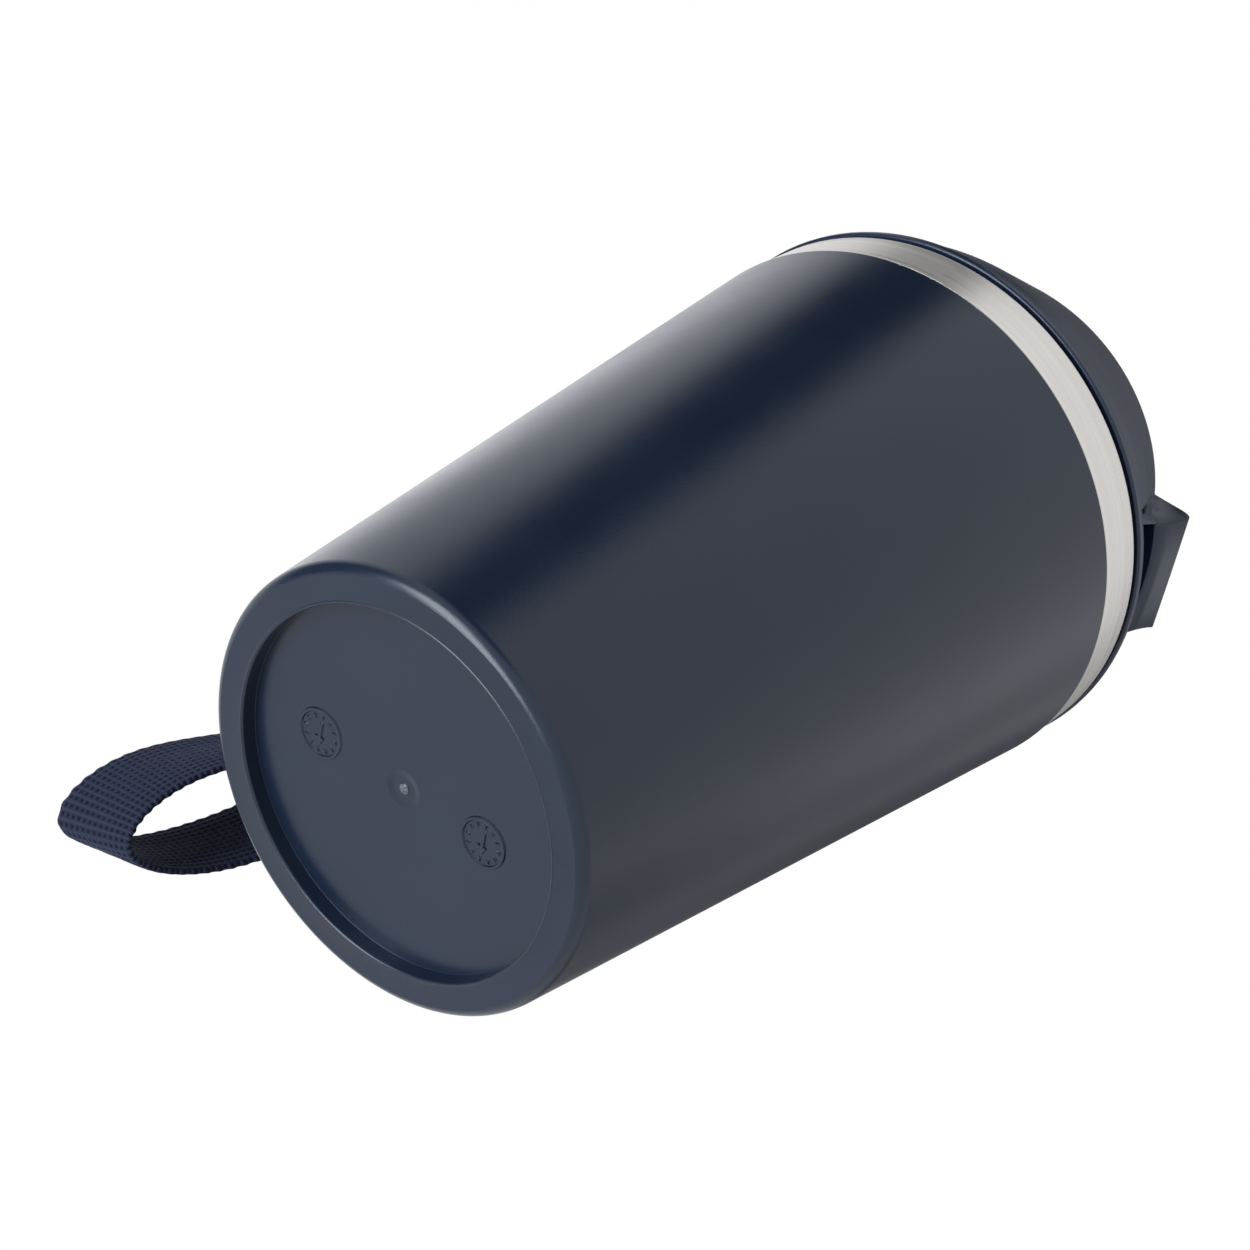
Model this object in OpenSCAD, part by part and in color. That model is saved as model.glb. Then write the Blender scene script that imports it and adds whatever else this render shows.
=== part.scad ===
// Travel mug: a plastic shell round a steel cup, closed by a screw lid with a hinged
// cover and a webbing carry strap. Millimetres, mug upright, +Z up, the centre of the
// foot's resting plane at the origin, the thumb tab towards -Y, hinge and strap at +Y.

/* [Shell] */
// Radius of the foot, where the side wall meets the table
foot_r = 30.5; // [26:0.1:34]
// Radius of the shell at its upper edge
mouth_r = 40; // [37:0.1:44]
// Height of the coloured shell
shell_h = 104.7; // [90:0.1:130]
// Wall of the shell
shell_wall = 2; // [1.6:0.1:2.6]
// Radius of the rounded foot edge
foot_round = 1.6; // [0.8:0.1:2.4]
// Radius of the recess under the base
recess_r = 25.4; // [18:0.1:27]
// Depth of the recess under the base
recess_depth = 2.4; // [1:0.1:4]
// Radius of the moulding dimple in the middle of the base
gate_r = 2.6; // [1:0.1:4]
// Depth of the moulding dimple
gate_depth = 0.4; // [0.2:0.1:0.9]
// Radius of the cut-off moulding stub in the dimple
stub_r = 0.7; // [0.3:0.1:0.9]

/* [Steel cup] */
// Height of the bare steel band above the shell
band_h = 8.1; // [6:0.1:11]
// How far the band leans inwards over its height
band_lean = 0.24; // [0:0.02:0.6]
// Thickness of the steel sheet
sheet = 0.6; // [0.4:0.1:0.8]
// Radius of the rolled edges of the rim
rim_round = 1.1; // [0.9:0.1:1.4]
// Depth of the straight neck, measured down from the rim
neck_h = 22; // [20:0.5:28]
// Space between the cup and the shell wall
air_gap = 2.2; // [1.5:0.1:4]
// Height of the slope between the neck and the tapered wall
neck_slope = 4; // [3:0.5:8]
// Radius of the cup's bottom corner
cup_round = 7; // [4:0.5:10]
// Thickness of the ring that seals the cup in the shell
ring_d = 1; // [0.8:0.1:1.2]

/* [Lid] */
// Thickness of the lid's flat seal
seal_h = 1.2; // [1:0.1:1.6]
// Depth of the groove in the flange that holds the seal
seal_groove = 0.8; // [0.5:0.1:0.9]
// Width of the lid's flat seal
seal_w = 2.6; // [2:0.1:2.8]
// Height of the lid's flange
flange_h = 3.1; // [2.8:0.1:5]
// How far the flange stands out past the shell
flange_lip = 0.1; // [0:0.05:0.5]
// How far the flange's side leans inwards over its height
flange_lean = 1.7; // [1:0.1:2.5]
// Length of the plug below the rim
plug_h = 15.3; // [13.5:0.1:19]
// Wall of the plug and of the deck
lid_wall = 2; // [1.5:0.1:2.5]
// Depth of the drinking deck below the flange's top
deck_depth = 2.1; // [1.5:0.1:3]
// Radius of the drinking hole
drink_r = 6; // [4:0.1:7]
// Wall of the drinking spout at its top
spout_wall = 1.8; // [1.4:0.1:2.2]
// Height of the spouts above the deck
spout_h = 10.6; // [8:0.1:11.5]
// Distance of the drinking spout from the mug's axis
drink_y = 17; // [15:0.5:20]
// Radius of the vent hole
vent_r = 1.4; // [1:0.1:2]
// Distance of the vent from the mug's axis
vent_y = 10; // [6:0.5:14]

/* [Stoppers] */
// Depth of the drinking stopper in its spout
drink_plug_h = 3; // [2:0.1:4]
// Radius of the drinking stopper's neck in the plate
drink_neck_r = 2.5; // [2:0.1:3]
// Radius of the drinking stopper's head above the plate
drink_head_r = 3.6; // [3.2:0.1:4.5]
// Depth of the vent stopper in its spout
vent_plug_h = 1.4; // [1:0.1:2]
// Radius of the vent stopper's neck in the plate
vent_neck_r = 1.5; // [1.2:0.1:2]
// Radius of the vent stopper's head above the plate
vent_head_r = 2.4; // [2.1:0.1:3]
// Height of a stopper's head
stopper_head_h = 1.2; // [0.8:0.1:1.6]
// How far a sealing disc stays inside its spout's rim
disc_inset = 0.3; // [0.1:0.1:0.6]

/* [Thread] */
// Rise of the thread in one full turn
thread_lead = 16; // [14:0.5:18]
// Number of thread starts
thread_starts = 3; // [3:1:3]
// Height of a thread ridge above its wall
thread_depth = 1; // [0.8:0.05:1.1]
// Half thickness of a ridge where it leaves its wall
ridge_root = 1.1; // [0.8:0.05:1.2]
// Half thickness of a ridge at its crest
ridge_crest = 0.5; // [0.3:0.05:0.6]
// Angle that each ridge in the cup covers
cup_ridge_turn = 100; // [80:5:110]
// Angle that each ridge on the plug covers
plug_ridge_turn = 60; // [40:5:80]
// Depth of the middle of the cup's ridges below the rim
ridge_below_rim = 5.8; // [5:0.1:6.5]

/* [Flip cover] */
// Height of the cover's steep skirt
skirt_h = 4.7; // [4:0.1:6]
// How far the skirt leans inwards over its height
skirt_lean = 1.2; // [0.5:0.1:2]
// Rise from the skirt to the middle of the top edge
dome_rise = 14.95; // [13:0.05:20]
// Radius of the top edge
top_r = 29.3; // [27:0.1:31]
// Tilt of the top, higher towards the tab
top_tilt = 4; // [0:0.5:6]
// Radius of the rounded top edge
top_round = 2; // [1:0.1:3]
// Wall of the cover
cover_wall = 2; // [1.6:0.1:2.4]
// Thickness of the inner plate
plate_t = 1.6; // [1.2:0.1:2]
// Half width of the thumb tab at its outer edge
tab_half_w = 10.2; // [7:0.1:12]
// Distance of the tab's upper outer edge from the mug's axis
tab_reach = 37.3; // [35:0.1:39]
// Height of the tab's upper edge above the skirt
tab_top = 9.6; // [8:0.1:11]
// Height of the tab's outer face
tab_face = 5.9; // [5:0.1:7.5]
// How far the tab's outer face leans back towards its foot
tab_lean = 1.5; // [0.5:0.1:2]
// How much wider the tab's foot gets, on each side, where it runs into the wall
tab_flare = 1.6; // [0.8:0.1:2.4]
// Radius of the finger hollow under the tab
hollow_r = 7; // [5:0.1:9]
// Wall left behind the finger hollow
hollow_wall = 1.6; // [1.2:0.1:2]
// How much wider the hollow gets, on each side, towards the cover's lower edge
hollow_spread = 3.7; // [2:0.1:5]
// Width of the cheek beside the hollow at the cover's lower edge
cheek_w = 1.9; // [1.2:0.1:2.6]
// Opening angle of the cover
cover_open = 110; // [90:1:120]

/* [Hinge and strap] */
// Radius of the steel hinge pin
hinge_pin_r = 1; // [0.8:0.05:1.2]
// Radius of the hinge knuckle
knuckle_r = 2.2; // [1.9:0.05:2.5]
// Radius of the steel strap bar
bar_r = 1; // [0.8:0.05:1.1]
// Radius of the ears round the strap bar
bar_ear_r = 1.9; // [1.7:0.05:2.1]
// Distance of the strap bar behind the shell's upper edge
bar_out = 1.8; // [1.6:0.05:2.4]
// Height of the strap bar above the flange's underside
bar_up = 2.2; // [1.9:0.05:2.6]
// Thickness of each ear
ear_t = 1.6; // [1.2:0.1:2]
// Width of the webbing
strap_w = 14.2; // [10:0.1:16]
// Thickness of the webbing
strap_t = 1.3; // [0.8:0.1:1.6]

/* [Fits] */
// Gap at faces that only rest on each other
seat_gap = 0.1; // [0.05:0.01:0.15]
// Gap between pieces that move past each other
move_gap = 0.35; // [0.3:0.01:0.45]
// Gap between the shell and the steel that wraps its upper edge
hem_gap = 0.3; // [0.2:0.05:0.4]
// Radial gap of the hinge pin in the turning knuckle
pin_gap = 0.05; // [0.03:0.01:0.08]
// Radial gap of a pin in the ears that hold it
press_gap = 0.02; // [0.01:0.01:0.03]
// Gap between webbing and the pieces beside it
strap_gap = 0.3; // [0.25:0.01:0.4]
// Gap between a soft stopper and its hole
stopper_gap = 0.35; // [0.3:0.01:0.45]

/* [Hidden] */
$fn = 96;
eps = 0.02;
far = 200;
round_steps = 6;
dome_fn = 72;
navy = [0.16, 0.19, 0.25];
steel = [0.78, 0.77, 0.75];
silicone = [0.10, 0.11, 0.13];
webbing = [0.10, 0.12, 0.20];

// Shell and cup, worked out from the outer cone
function shell_r(z) = foot_r + (mouth_r - foot_r) * z / shell_h;
floor_z = recess_depth + shell_wall;
rim_z = shell_h + band_h;
neck_z = rim_z - neck_h;
neck_gap = 0.45;
bore_r = shell_r(neck_z) - shell_wall - neck_gap - sheet;
cup_floor_z = floor_z + air_gap;
band_top_r = mouth_r - band_lean;
seam = seat_gap;
spigot_top_z = rim_z - sheet - rim_round;
ring_z = neck_z + 6;

// Lid levels, from the rim upwards
seal_z = rim_z + seat_gap;
flange_z = seal_z + seal_h + seat_gap - seal_groove;
seal_in_r = bore_r + rim_round;
seal_out_r = bore_r + seal_w;
flange_top_z = flange_z + flange_h;
flange_r = mouth_r + flange_lip;
flange_top_r = flange_r - flange_lean;
deck_top_z = flange_top_z - deck_depth;
deck_z = deck_top_z - lid_wall;
spout_top_z = deck_top_z + spout_h;
plug_play = 0.4;
plug_r = bore_r - thread_depth - plug_play;
plug_z = rim_z - plug_h;
edge_round = 0.4;
bulge_h = flange_h - edge_round;
bulge_r = (bulge_h * bulge_h + flange_lean * flange_lean) / (2 * flange_lean);

// Thread: the plug's ridges lie halfway between the cup's
thread_pitch = thread_lead / thread_starts;
ridge_sink = 0.3;
ridge_step = 5;
cup_ridge_z = rim_z - ridge_below_rim;

// Cover levels
cover_z = flange_top_z + 1.5 * seat_gap;
skirt_r = flange_top_r - 1.5 * seat_gap;
shoulder_z = cover_z + skirt_h;
shoulder_r = skirt_r - skirt_lean;
top_z = shoulder_z + dome_rise;
plate_z = spout_top_z + 2.5;
stopper_disc = plate_z - spout_top_z - stopper_gap - seat_gap;
ledge_h = 1.2;
ledge_w = 2.2;
pad_y = drink_y + drink_r + spout_wall + 3.8;
tab_low_z = shoulder_z + tab_top - tab_face;
hollow_top_w = tab_half_w - 0.5;
hollow_low_w = hollow_top_w + hollow_spread;
pad_half_w = hollow_low_w + 1.2;
pad_top_z = plate_z - 1;
tab_top_z = shoulder_z + tab_top;
tab_root_y = shoulder_r - 8;

// Inner wall of the cover at height z, at the back (side 1) or the front (side -1)
in_low_r = shoulder_r - cover_wall;
in_top_r = top_r - 0.6 * cover_wall;
function in_top_z(side) = top_z - top_round - cover_wall - side * in_top_r * sin(top_tilt);
function in_wall_r(z, side) = in_low_r
    + (in_top_r - in_low_r) * (z - shoulder_z) / (in_top_z(side) - shoulder_z);
tab_low_r = in_wall_r(tab_low_z, -1) + cover_wall;
plate_gap = 0.5;
plate_back_r = in_wall_r(plate_z + plate_t, 1);
plate_front_r = in_wall_r(plate_z + plate_t, -1);
plate_r = (plate_back_r + plate_front_r) / 2 - plate_gap;
plate_shift = (plate_front_r - plate_back_r) / 2;

// Hinge and strap bar
hinge_y = skirt_r + seat_gap;
hinge_z = cover_z + knuckle_r + 1.55;
bar_y = mouth_r + bar_out;
bar_z = flange_z + bar_up;
ear_in = strap_w / 2 + 0.5;
ear_out = ear_in + ear_t;

// Points on a circle in the plane of a profile
function arc(c, r, a0, a1, n = round_steps) =
    [for (i = [0:n]) let (a = a0 + (a1 - a0) * i / n) c + r * [cos(a), sin(a)]];

// Triangles of a tube whose rings have k points each, closed on itself or capped
function tube_faces(n, k, loop) = concat(
    [for (i = [0:n - (loop ? 1 : 2)], j = [0:k - 1])
        let (a = i * k + j, b = i * k + (j + 1) % k, m = (i + 1) % n)
        each [[a, m * k + j, b], [b, m * k + j, m * k + (j + 1) % k]]],
    loop ? [] : concat(
        [for (j = [1:k - 2]) [0, j, j + 1]],
        [for (j = [1:k - 2]) [(n - 1) * k, (n - 1) * k + j + 1, (n - 1) * k + j]]));

module ridge(r_root, r_crest, z_mid, turn) {
    steps = ceil(turn / ridge_step);
    inner = min(r_root, r_crest);
    outer = max(r_root, r_crest);
    half_in = r_root < r_crest ? ridge_root : ridge_crest;
    half_out = r_root < r_crest ? ridge_crest : ridge_root;
    rings = [for (i = [0:steps])
        let (a = turn * (i / steps - 0.5), z = z_mid + thread_lead * a / 360)
        each [for (p = [[inner, -half_in], [inner, half_in], [outer, half_out], [outer, -half_out]])
            [p[0] * cos(a), p[0] * sin(a), z + p[1]]]];
    polyhedron(rings, tube_faces(steps + 1, 4, false));
}

module ridges(r_root, r_crest, z_mid, turn) {
    for (i = [0:thread_starts - 1])
        rotate([0, 0, 360 * i / thread_starts]) ridge(r_root, r_crest, z_mid, turn);
}

module across(half, r, y, z, facets = 48) {
    translate([-half, y, z]) rotate([0, 90, 0]) cylinder(r = r, h = 2 * half, $fn = facets);
}

module outer_shell() {
    spigot_r = band_top_r - sheet - hem_gap;
    neck_r = bore_r + sheet + hem_gap;
    corner = 0.3;
    color(navy) difference() {
        rotate_extrude() polygon(concat(
            [[0, recess_depth], [recess_r - corner, recess_depth], [recess_r, recess_depth - corner],
                [recess_r, 0]],
            arc([foot_r - foot_round, foot_round], foot_round, -90, -5),
            [[mouth_r, shell_h], [spigot_r, shell_h], [spigot_r, spigot_top_z],
                [neck_r, spigot_top_z], [neck_r, neck_z],
                [shell_r(floor_z + air_gap) - shell_wall, floor_z + air_gap],
                [foot_r - shell_wall - air_gap, floor_z], [0, floor_z]]));
        translate([0, 0, recess_depth - eps]) difference() {
            cylinder(r1 = gate_r, r2 = max(stub_r, gate_r - 2 * gate_depth), h = gate_depth + eps);
            cylinder(r = stub_r, h = 2 * gate_depth);
        }
    }
}

module inner_cup() {
    wall_top_z = neck_z - neck_slope;
    out_top = shell_r(wall_top_z) - shell_wall - air_gap;
    out_low = shell_r(cup_floor_z + cup_round) - shell_wall - air_gap;
    roll = rim_round - sheet;
    color(steel) union() {
        rotate_extrude() polygon(concat(
            [[0, cup_floor_z]],
            arc([out_low - cup_round, cup_floor_z + cup_round], cup_round, -90, 0),
            [[out_top, wall_top_z], [bore_r + sheet, neck_z]],
            arc([bore_r + rim_round, rim_z - rim_round], roll, 180, 90),
            arc([band_top_r - rim_round, rim_z - rim_round], roll, 90, 0),
            [[mouth_r - sheet, shell_h + seam], [mouth_r, shell_h + seam]],
            arc([band_top_r - rim_round, rim_z - rim_round], rim_round, 0, 90),
            arc([bore_r + rim_round, rim_z - rim_round], rim_round, 90, 180),
            [[bore_r, neck_z], [out_top - sheet, wall_top_z]],
            arc([out_low - cup_round, cup_floor_z + cup_round], cup_round - sheet, 0, -90),
            [[0, cup_floor_z + sheet]]));
        ridges(bore_r + ridge_sink, bore_r - thread_depth, cup_ridge_z, cup_ridge_turn);
    }
}

module cup_ring() {
    gap_in = bore_r + sheet;
    gap_out = bore_r + sheet + hem_gap + ring_d;
    color(silicone) rotate_extrude() translate([(gap_in + gap_out) / 2, spigot_top_z + ring_d / 2 + seat_gap])
        circle(d = ring_d, $fn = 32);
}

module lid_seal() {
    color(silicone) rotate_extrude() translate([seal_in_r, seal_z]) square([seal_out_r - seal_in_r, seal_h]);
}

module ear_profile() {
    root_y = flange_top_r - 3.6;
    translate([hinge_y, hinge_z]) circle(r = knuckle_r, $fn = 48);
    translate([bar_y, bar_z]) circle(r = bar_ear_r, $fn = 48);
    polygon([[hinge_y - knuckle_r, hinge_z], [hinge_y + knuckle_r, hinge_z],
        [bar_y + bar_ear_r, bar_z], [bar_y, bar_z - bar_ear_r],
        [root_y, flange_z + edge_round], [root_y, flange_top_z - edge_round],
        [hinge_y - knuckle_r, flange_top_z]]);
}

module lid_collar() {
    well_r = plug_r - seat_gap;
    groove_w = seal_out_r - seal_in_r + 2 * seat_gap;
    spout_r = drink_r + spout_wall;
    vent_wall_r = vent_r + spout_wall;
    spout_draft = 0.7;
    tongue_w = 10;
    tongue_t = 1.4;
    tongue_h = 4.4;
    tongue_y = pad_y - move_gap;
    color(navy) difference() {
        union() {
            rotate_extrude() polygon(concat(
                [[plug_r - lid_wall, plug_z], [plug_r - edge_round, plug_z],
                    [plug_r, plug_z + edge_round], [plug_r, flange_z]],
                arc([flange_r - edge_round, flange_z + edge_round], edge_round, -90, 0),
                arc([flange_r - bulge_r, flange_z + edge_round], bulge_r, 0, asin(bulge_h / bulge_r)),
                [[well_r, flange_top_z], [well_r, deck_top_z], [0, deck_top_z], [0, deck_z],
                    [plug_r - lid_wall, deck_z]]));
            translate([0, -drink_y, deck_top_z - eps])
                cylinder(r1 = spout_r + spout_draft, r2 = spout_r, h = spout_h + eps);
            translate([0, vent_y, deck_top_z - eps])
                cylinder(r1 = vent_wall_r + spout_draft, r2 = vent_wall_r, h = spout_h + eps);
            translate([-tongue_w / 2, -tongue_y, deck_top_z - eps])
                cube([tongue_w, tongue_t, tongue_h + eps]);
            for (s = [-1, 1])
                translate([s > 0 ? ear_in : -ear_out, 0, 0])
                    rotate([90, 0, 90]) linear_extrude(ear_t) ear_profile();
            ridges(plug_r - ridge_sink, plug_r + thread_depth,
                cup_ridge_z - thread_pitch / 2, plug_ridge_turn);
        }
        rotate_extrude() translate([seal_in_r - seat_gap, flange_z - eps])
            square([groove_w, seal_groove + eps]);
        translate([0, -drink_y, deck_z - eps]) cylinder(r = drink_r, h = far);
        translate([0, vent_y, deck_z - eps]) cylinder(r = vent_r, h = far);
        across(far, hinge_pin_r + press_gap, hinge_y, hinge_z);
        across(far, bar_r + press_gap, bar_y, bar_z);
        translate([-ear_in, bar_y - bar_r - 2 * strap_gap - strap_t, flange_z - eps])
            cube([2 * ear_in, far, flange_h + 2 * eps]);
    }
}

// Outside of the cover, or its hollow when drawn in by the wall
module dome(inset) {
    hull() {
        translate([0, 0, cover_z]) cylinder(r1 = skirt_r - inset, r2 = shoulder_r - inset, h = skirt_h,
            $fn = dome_fn);
        translate([0, 0, top_z]) rotate([-top_tilt, 0, 0])
            rotate_extrude($fn = dome_fn) translate([top_r - top_round - 0.6 * inset, -top_round - inset])
                intersection() {
                    circle(r = top_round, $fn = 24);
                    square(2 * top_round);
                }
    }
}

// Thumb tab: rounded outer edges, flanks that spread into the wall towards its foot, and
// below it a cheek on each side of the hollow, which dies away at the cover's lower edge
module tab() {
    tip = 0.7;
    root = 1;
    foot_y = tab_reach - tab_lean;
    foot_half_w = tab_half_w + tab_flare;
    foot_root_y = sqrt(pow(tab_low_r, 2) - pow(foot_half_w, 2));
    cheek_half_w = hollow_low_w + cheek_w;
    cheek_y = sqrt(pow(skirt_r, 2) - pow(cheek_half_w, 2));
    hull() {
        across(tab_half_w, tip, tip - tab_reach, tab_top_z - tip, 24);
        across(tab_half_w, 2 * tip, 2 * tip - foot_y, tab_low_z + 2 * tip, 24);
        translate([-tab_half_w, -tab_root_y, tab_top_z - root]) cube([2 * tab_half_w, root, root]);
        translate([-foot_half_w, -foot_root_y, tab_low_z]) cube([2 * foot_half_w, root, root]);
        translate([-cheek_half_w, -cheek_y, cover_z]) cube([2 * cheek_half_w, root, eps]);
    }
}

// Finger hollow: a round trough across the front, spreading towards the cover's lower edge
module hollow() {
    hollow_y = pad_y + hollow_wall + hollow_r;
    hollow_z = (cover_z + tab_low_z) / 2;
    intersection() {
        across(far, hollow_r, -hollow_y, hollow_z, 64);
        translate([0, -pad_y, 0]) rotate([90, 0, 0]) linear_extrude(far)
            polygon([[-hollow_low_w, cover_z - eps], [hollow_low_w, cover_z - eps],
                [hollow_top_w, tab_low_z], [-hollow_top_w, tab_low_z]]);
    }
}

module flip_cover() {
    ledge_z = plate_z + plate_t + seat_gap;
    ledge_r = plate_r + ledge_w - plate_gap;
    slot = [ear_t + 2 * move_gap, far, knuckle_r + hinge_z - flange_top_z];
    color(navy) difference() {
        union() {
            difference() {
                union() {
                    dome(0);
                    tab();
                }
                difference() {
                    translate([0, 0, -eps]) dome(cover_wall);
                    translate([-pad_half_w, -far, cover_z])
                        cube([2 * pad_half_w, far - pad_y, pad_top_z - cover_z]);
                }
            }
            difference() {
                intersection() {
                    translate([0, -plate_shift, ledge_z]) cylinder(r = ledge_r, h = ledge_h);
                    dome(cover_wall / 2);
                }
                translate([0, -plate_shift, ledge_z - eps])
                    cylinder(r = ledge_r - ledge_w, h = ledge_h + 2 * eps);
            }
            across(ear_in - move_gap, knuckle_r, hinge_y, hinge_z);
        }
        hollow();
        across(far, hinge_pin_r + pin_gap, hinge_y, hinge_z);
        for (s = [-1, 1]) translate([s * (ear_in + ear_t / 2), 0, 0]) {
            across(ear_t / 2 + move_gap, knuckle_r + move_gap, hinge_y, hinge_z);
            translate([-slot[0] / 2, hinge_y - knuckle_r - move_gap, hinge_z - slot[2]]) cube(slot);
        }
    }
}

module cover_plate() {
    color(navy) difference() {
        translate([0, -plate_shift, plate_z]) cylinder(r = plate_r, h = plate_t);
        translate([0, -drink_y, plate_z - eps]) cylinder(r = drink_neck_r + seat_gap, h = far);
        translate([0, vent_y, plate_z - eps]) cylinder(r = vent_neck_r + seat_gap, h = far);
    }
}

// A soft stopper: plug, sealing disc, neck through the plate and a head above it
module stopper(plug, disc, neck, head, depth) {
    disc_z = plate_z - seat_gap;
    head_z = plate_z + plate_t + seat_gap;
    rotate_extrude() polygon([[0, spout_top_z - depth], [plug - 0.5, spout_top_z - depth],
        [plug, spout_top_z - depth + 0.8], [plug, disc_z - stopper_disc], [disc, disc_z - stopper_disc],
        [disc, disc_z], [neck, disc_z], [neck, head_z], [head, head_z],
        [head - stopper_head_h / 2, head_z + stopper_head_h], [0, head_z + stopper_head_h]]);
}

module drink_stopper() {
    color(silicone) translate([0, -drink_y, 0])
        stopper(drink_r - stopper_gap, drink_r + spout_wall - disc_inset, drink_neck_r, drink_head_r,
            drink_plug_h);
}

module vent_stopper() {
    color(silicone) translate([0, vent_y, 0])
        stopper(vent_r - stopper_gap, vent_r + spout_wall - disc_inset, vent_neck_r, vent_head_r,
            vent_plug_h);
}

module hinge_pin() {
    color(steel) across(ear_out, hinge_pin_r, hinge_y, hinge_z);
}

module strap_bar() {
    color(steel) across(ear_out, bar_r, bar_y, bar_z);
}

// Strap: round the bar, down one strand, round the hanging end and back up the other.
// Each control point is [x, y, z] from the bar and the turn of the webbing's width.
wrap_r = bar_r + strap_gap + strap_t / 2;
strap_points = [[0, wrap_r, 0, 0], [0.5, 2.9, -6, 5], [8.5, 8.5, -19, 19], [19.5, 3.5, -39, 36],
    [31, -2.5, -58.5, 52], [34.5, -0.5, -80.5, 65], [32, 9.5, -102.5, 72], [38.5, 8, -120, 72],
    [48.5, 3, -102.5, 79], [42.5, -6, -75, 74], [30.5, -4, -48, 56], [13.5, 4, -24.5, 29],
    [1, 0.6, -7, 5], [0, -wrap_r, 0, 0]];
strap_steps = 5;
wrap_steps = 8;

function knot(i) = let (n = len(strap_points) - 1)
    i < 0 ? 2 * strap_points[0] - strap_points[1]
    : i > n ? 2 * strap_points[n] - strap_points[n - 1] : strap_points[i];
function strand(i, t) = (pow(1 - t, 3) * knot(i - 1) + (3 * pow(t, 3) - 6 * t * t + 4) * knot(i)
    + (-3 * pow(t, 3) + 3 * t * t + 3 * t + 1) * knot(i + 1) + pow(t, 3) * knot(i + 2)) / 6;
strap_path = concat(
    [for (i = [0:len(strap_points) - 2], k = [0:strap_steps - 1]) strand(i, k / strap_steps)],
    [for (k = [0:wrap_steps - 1]) let (a = 180 - 180 * k / wrap_steps)
        [0, wrap_r * cos(a), wrap_r * sin(a), 0]]);

function unit(v) = v / norm(v);
function xyz(p) = [p[0], p[1], p[2]];

module strap() {
    n = len(strap_path);
    rings = [for (i = [0:n - 1])
        let (p = xyz(strap_path[i]), turn = strap_path[i][3],
            along = unit(xyz(strap_path[(i + 1) % n]) - xyz(strap_path[(i + n - 1) % n])),
            flat = [cos(turn), sin(turn), 0],
            wide = unit(flat - (flat * along) * along), thick = cross(along, wide))
        each [for (c = [[-1, -1], [1, -1], [1, 1], [-1, 1]])
            p + c[0] * strap_w / 2 * wide + c[1] * strap_t / 2 * thick]];
    color(webbing) translate([0, bar_y, bar_z]) polyhedron(rings, tube_faces(n, 4, true));
}

outer_shell();
inner_cup();
cup_ring();
lid_seal();
lid_collar();
flip_cover();
cover_plate();
drink_stopper();
vent_stopper();
hinge_pin();
strap_bar();
strap();
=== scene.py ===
# %% [markdown]
# # A travel mug, seen from under its foot
# The mug is a plastic shell round a steel cup, with a screw lid, a hinged cover and a
# webbing strap. The solids come from the CAD model, which fixes every size and every
# joint. This script gives the parts that show their finer surfaces, their materials and
# a studio. The mug's lengths are in millimetres and become metres when a mesh is made;
# the studio is written in metres.

# %% Load the CAD frame
import bpy
import bmesh
import numpy as np
from mathutils import Matrix


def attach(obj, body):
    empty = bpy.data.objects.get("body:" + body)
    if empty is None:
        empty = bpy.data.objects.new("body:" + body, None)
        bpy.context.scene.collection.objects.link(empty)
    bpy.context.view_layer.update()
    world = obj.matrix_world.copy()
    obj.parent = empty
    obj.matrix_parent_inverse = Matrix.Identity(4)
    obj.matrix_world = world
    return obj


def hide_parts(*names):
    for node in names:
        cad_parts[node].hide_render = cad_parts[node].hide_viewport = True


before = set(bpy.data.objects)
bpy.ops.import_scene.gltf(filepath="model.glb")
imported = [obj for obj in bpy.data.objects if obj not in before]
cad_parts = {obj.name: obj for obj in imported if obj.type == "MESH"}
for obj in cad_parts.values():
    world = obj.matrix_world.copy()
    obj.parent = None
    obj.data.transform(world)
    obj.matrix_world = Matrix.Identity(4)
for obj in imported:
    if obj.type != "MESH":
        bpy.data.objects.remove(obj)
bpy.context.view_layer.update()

MM = 0.001

# %% [markdown]
# ## The camera
# The picture looks up at the foot, with the mug lying back from the lens. The view was
# worked out from circles whose true shape is known: the foot, the recess and the steel
# band. Three axes and a place are all that a camera needs, so its matrix is written
# directly instead of being turned into angles. The lamps are placed in the same way.

# %% Camera
def new_object(name, data):
    """An object at the origin that shows the given data, linked to the scene."""
    thing = bpy.data.objects.new(name, data)
    bpy.context.scene.collection.objects.link(thing)
    return thing


def axes_matrix(right, up, back, place):
    """A matrix whose columns are three axes and a place."""
    matrix = np.eye(4)
    matrix[:3, :] = np.stack([right, up, back, place], axis=1)
    return Matrix(matrix.tolist())


view_right = np.array([-0.1794, -0.7658, 0.6176])
view_down = np.array([0.8044, -0.4756, -0.3561])
view_forward = np.array([0.5664, 0.4329, 0.7013])
view_place = np.array([-249.12, -185.45, -255.41]) * MM

camera_data = bpy.data.cameras.new("camera")
camera_data.sensor_width = 36.0
camera_data.lens = 93.32
camera_data.clip_start = 0.01
camera = new_object("camera", camera_data)
camera.matrix_world = axes_matrix(view_right, -view_down, -view_forward, view_place)
bpy.context.scene.camera = camera
print("camera at", view_place.round(4), "lens", camera_data.lens)

# %% [markdown]
# ## Grids become meshes
# Every new piece is a grid of points: a profile carried round an axis, or a section
# carried along a path. One helper numbers the corners of the grid's quads. Another joins
# several grids into one mesh and closes the seams by merging points that coincide. A
# third hands the piece to the body that it moves with.

# %% Mesh helpers
MERGE = 2e-6


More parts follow.
